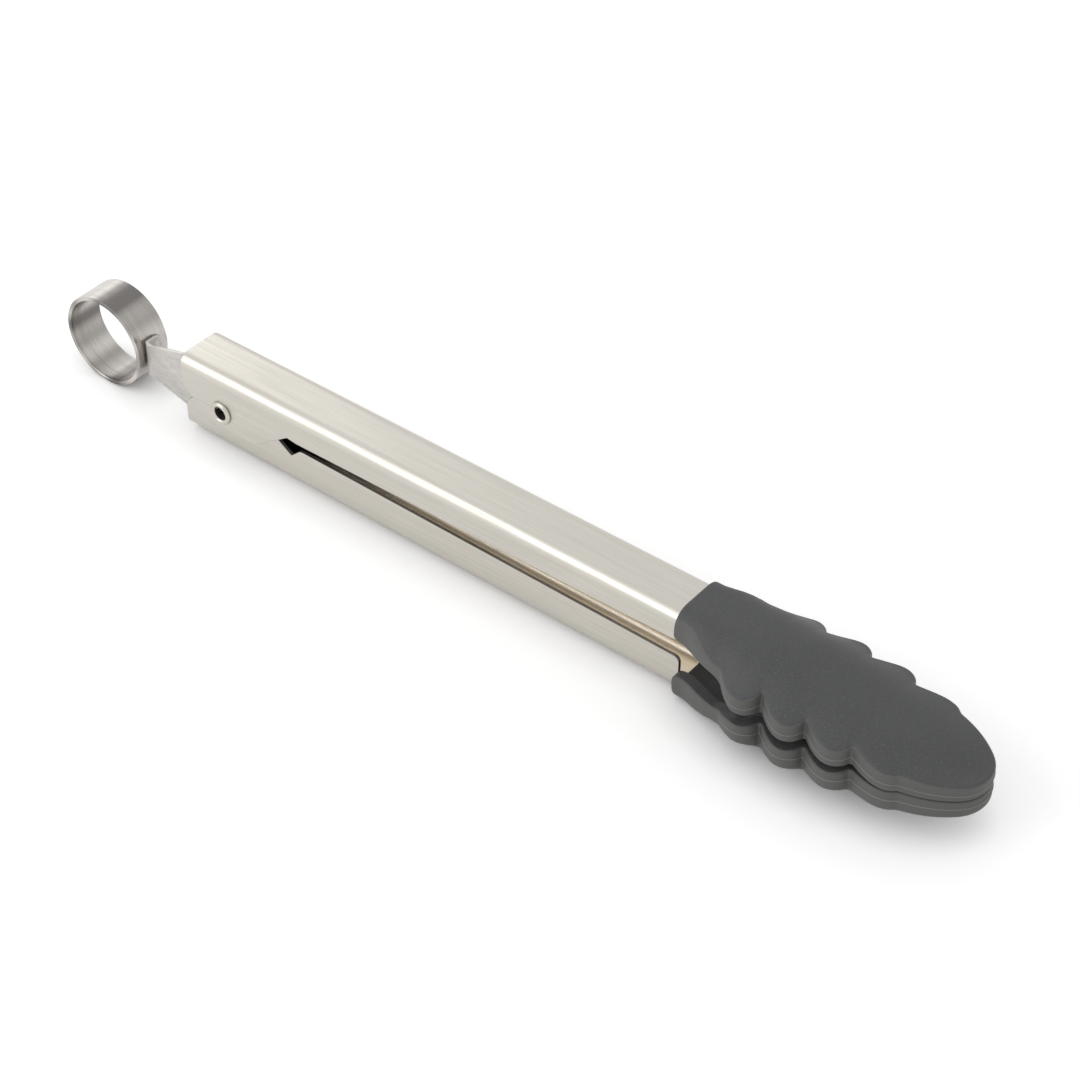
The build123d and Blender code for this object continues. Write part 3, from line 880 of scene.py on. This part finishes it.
def spring_path(s, middle, web_inside):
    """Middle of the spring's wire: a coil round the pivot, and at each end a straight leg along its tangent
    that ends just inside an arm's web. The coil's middle is at a place along Y. Gives the points and the coil's
    first and last place along Y."""
    web_gap = 0.35
    rise = web_inside + s["leg_reach"] * np.tan(radians(CLOSED_ANGLE / 2)) - web_gap - s["wire"] / 2
    span = hypot(s["leg_reach"], rise)
    turn = acos(s["coil_radius"] / span)
    start = acos(s["leg_reach"] / span) + turn
    whole = 2 * pi * s["coil_turns"] - 2 * start
    tall = s["coil_pitch"] * whole / (2 * pi)
    first = middle - tall / 2
    angle = np.linspace(0, whole, 200)
    around = -start - angle
    coil = np.stack(
        [
            s["coil_radius"] * np.cos(around),
            first + tall * angle / whole,
            s["coil_radius"] * np.sin(around),
        ],
        axis=-1,
    )
    reach = span * sin(turn)
    ahead = coil[-1] - coil[-2]
    behind = coil[0] - coil[1]
    along = np.linspace(0, reach, 24)[1:, None]
    legs = [coil[0] + along[::-1] * behind / np.linalg.norm(behind), coil[-1] + along * ahead / np.linalg.norm(ahead)]
    path = np.concatenate([legs[0], coil, legs[1]])
    return placed(STRIP_SIDE, path[:, 0], path[:, 1], path[:, 2]), first, first + tall


def tube(path, radius, sides):
    """A round wire along a path: circles square to it, drawn in at both ends to rounded tips."""
    ahead = np.gradient(path, axis=0)
    ahead /= np.linalg.norm(ahead, axis=1)[:, None]
    across = np.array([0.0, 1.0, 0.0]) - ahead[:, 1:2] * ahead
    across /= np.linalg.norm(across, axis=1)[:, None]
    over = np.cross(ahead, across)
    roll = np.radians(np.array([90.0, 65.0, 40.0, 15.0]))
    back = -0.3 * radius * np.sin(roll)[:, None] * ahead[0]
    front = 0.3 * radius * np.sin(roll[::-1])[:, None] * ahead[-1]
    middle = np.concatenate([path[0] + back, path, path[-1] + front])
    size = np.concatenate([np.cos(roll), np.ones(len(path)), np.cos(roll[::-1])])[:, None, None] * radius
    across = np.concatenate([np.tile(across[0], (4, 1)), across, np.tile(across[-1], (4, 1))])[:, None]
    over = np.concatenate([np.tile(over[0], (4, 1)), over, np.tile(over[-1], (4, 1))])[:, None]
    angle = np.linspace(0, 2 * pi, sides, endpoint=False)[None, :, None]
    points = middle[:, None] + size * (np.cos(angle) * across + np.sin(angle) * over)
    long = np.broadcast_to(run_length(middle)[:, None], points.shape[:2])
    brush = np.stack([long, np.broadcast_to(angle[..., 0] * radius, long.shape), 0 * long], axis=-1)
    return points, brush * MM


class TONGS_OT_spring(bpy.types.Operator):
    """Winds the torsion spring round the pivot, one leg along each arm"""

    bl_idname = "tongs.spring"
    bl_label = "Torsion spring"

    def execute(self, context):
        s = sizes_of(context.scene.tongs_hardware)
        arms = sizes_of(context.scene.tongs_arms)
        low, high = (np.array(corner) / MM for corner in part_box("torsion_spring"))
        path, first, last = spring_path(s, (low[1] + high[1]) / 2, arms["web_height"] - arms["sheet"])
        points, brush = tube(path, s["wire"] / 2, 14)
        finishes = context.scene.tongs_finishes
        dark = tuple(0.7 * channel for channel in finishes.wire)
        steel = brushed_steel("spring_steel", finishes.wire, dark, 0.28, 0.8)
        piece = new_piece(
            "torsion_spring_wire",
            points,
            grid_quads(*points.shape[:2], wrap_columns=True),
            steel,
            [("brush", brush.reshape(-1, 3))],
        )
        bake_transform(piece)
        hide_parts("torsion_spring")
        return {"FINISHED"}


class TONGS_OT_strip(bpy.types.Operator):
    """Finishes the lock strip: the CAD shape merged and with its edges rounded"""

    bl_idname = "tongs.strip"
    bl_label = "Lock strip"

    def execute(self, context):
        node = frame["nodes"]["lock_strip"]
        mesh = node.data.copy()
        mesh.name = "lock_strip_plate"
        work = bmesh.new()
        work.from_mesh(mesh)
        bmesh.ops.remove_doubles(work, verts=work.verts, dist=1e-6)
        bmesh.ops.dissolve_limit(work, angle_limit=radians(0.5), verts=work.verts, edges=work.edges)
        work.to_mesh(mesh)
        work.free()
        weld_along, weld_across, edge_round = -29.35, 0.85, 0.12
        weld = placed(STRIP_SIDE, weld_along, weld_across, 0.0) * MM
        mesh.materials.clear()
        mesh.materials.append(strip_steel("strip_steel", context.scene.tongs_finishes.strip, weld))
        mesh.polygons.foreach_set("use_smooth", np.ones(len(mesh.polygons), bool))
        piece = bpy.data.objects.new("lock_strip_plate", mesh)
        context.scene.collection.objects.link(piece)
        bevel(piece, edge_round)
        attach(piece, "lock")
        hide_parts("lock_strip")
        return {"FINISHED"}


class TONGS_OT_nylon(bpy.types.Operator):
    """Gives the spacers on the rivet their nylon"""

    bl_idname = "tongs.nylon"
    bl_label = "Nylon spacers"

    def execute(self, context):
        body = context.scene.tongs_finishes.nylon
        nylon = moulded_nylon("bush_nylon", tuple(2.2 * channel for channel in body))
        for name in ("short_bush", "spring_bush"):
            node = frame["nodes"][name]
            node.data.materials.clear()
            node.data.materials.append(nylon)
        return {"FINISHED"}


def area_light(name, place, target, size, power):
    """A soft square lamp at a place, in metres, facing a target."""
    lamp = bpy.data.lights.new(name, "AREA")
    lamp.size = size
    lamp.energy = power
    light = bpy.data.objects.new(name, lamp)
    light.location = place
    light.rotation_euler = (Vector(target) - Vector(place)).to_track_quat("-Z", "Y").to_euler()
    bpy.context.scene.collection.objects.link(light)


class TONGS_OT_stage(bpy.types.Operator):
    """Sets the pale floor, the soft light and the camera at the photograph's angle"""

    bl_idname = "tongs.stage"
    bl_label = "Stage"

    def execute(self, context):
        scene = context.scene
        scene.view_settings.view_transform = "Standard"
        floor_glow, sky_light, contact_shadow_reach = 0.34, 0.70, 0.010
        mesh = bpy.data.meshes.new("floor")
        mesh.from_pydata([(-4, -4, 0), (4, -4, 0), (4, 4, 0), (-4, 4, 0)], [], [(0, 1, 2, 3)])
        floor = bpy.data.objects.new("floor", mesh)
        scene.collection.objects.link(floor)
        material, tree = new_material("floor")
        tree.feed("Base Color", (*scene.tongs_finishes.floor, 1.0))
        tree.feed("Roughness", 0.9)
        tree.feed("Specular IOR Level", 0.0)
        # Painted shadow: ambient occlusion within a short reach of the tongs darkens the floor's glow, a contact
        # shadow painted into the floor.
        painted_contact_shadow = tree.nodes.new("ShaderNodeAmbientOcclusion")
        painted_contact_shadow.inputs["Distance"].default_value = contact_shadow_reach
        tree.feed("Emission Color", painted_contact_shadow.outputs["AO"])
        tree.feed("Emission Strength", tree.scaled(tree.seen_directly(), floor_glow))
        mesh.materials.append(material)

        scene.world = bpy.data.worlds.new("studio")
        sky = NodeTree(scene.world, "Background")
        sky.feed("Color", (1.0, 1.0, 1.0, 1.0))
        sky.feed("Strength", sky.ranged(sky.seen_directly(), 0.0, 1.0, sky_light, 1.0))

        area_light("key", place=(-0.62, -0.90, 0.66), target=(0.0, 0.0, 0.0), size=1.0, power=4.6)
        area_light("back", place=(-1.15, 0.60, 0.64), target=(-0.05, 0.0, 0.0), size=0.7, power=1.9)

        turn, tilt, roll = radians(38.12), radians(40.87), radians(0.52)
        focus, photo_width, sensor = 3000.0, 1080.0, 36.0
        shift_x, shift_y, distance = -74.28, 35.24, 747.03
        right = Vector((cos(turn), sin(turn), 0.0))
        back = Vector((sin(turn) * cos(tilt), -cos(turn) * cos(tilt), sin(tilt)))
        up = back.cross(right)
        right, up = right * cos(roll) + up * sin(roll), up * cos(roll) - right * sin(roll)
        lean = Matrix.Rotation(-radians(CLOSED_ANGLE / 2), 3, "Y")
        right, up, back = lean @ right, lean @ up, lean @ back
        lens = bpy.data.cameras.new("camera")
        lens.sensor_width = sensor
        lens.lens = focus * sensor / photo_width
        lens.clip_start, lens.clip_end = 0.05, 20.0
        camera = bpy.data.objects.new("camera", lens)
        camera.location = (Vector(PIVOT) + back * distance - right * shift_x - up * shift_y) * MM
        camera.rotation_euler = Matrix((right, up, back)).transposed().to_euler()
        scene.collection.objects.link(camera)
        scene.camera = camera
        return {"FINISHED"}


class TONGS_PT_sidebar(bpy.types.Panel):
    """Lists the builders of the tongs"""

    bl_idname = "TONGS_PT_sidebar"
    bl_label = "Kitchen tongs"
    bl_space_type = "VIEW_3D"
    bl_region_type = "UI"
    bl_category = "Tongs"

    def draw(self, context):
        for builder in OPERATORS:
            self.layout.operator(builder.bl_idname)
        for key in GROUPS:
            self.layout.label(text=GROUPS[key].__doc__)
            group = getattr(context.scene, key)
            for size in group.__annotations__:
                self.layout.prop(group, size)


GROUPS = {
    "tongs_arms": ArmSizes,
    "tongs_heads": HeadSizes,
    "tongs_hardware": HardwareSizes,
    "tongs_finishes": Finishes,
}
OPERATORS = (
    TONGS_OT_arms,
    TONGS_OT_heads,
    TONGS_OT_ring,
    TONGS_OT_rivet,
    TONGS_OT_spring,
    TONGS_OT_strip,
    TONGS_OT_nylon,
    TONGS_OT_stage,
)


def register():
    """Registers the sizes, the builders and the panel."""
    for key, group in GROUPS.items():
        bpy.utils.register_class(group)
        setattr(bpy.types.Scene, key, PointerProperty(type=group))
    for kind in (*OPERATORS, TONGS_PT_sidebar):
        bpy.utils.register_class(kind)


def unregister():
    """Takes back what register added."""
    for kind in (TONGS_PT_sidebar, *reversed(OPERATORS)):
        bpy.utils.unregister_class(kind)
    for key, group in reversed(GROUPS.items()):
        delattr(bpy.types.Scene, key)
        bpy.utils.unregister_class(group)


def main():
    register()
    for builder in OPERATORS:
        area, call = builder.bl_idname.split(".")
        getattr(getattr(bpy.ops, area), call)()


if __name__ == "__main__":
    main()
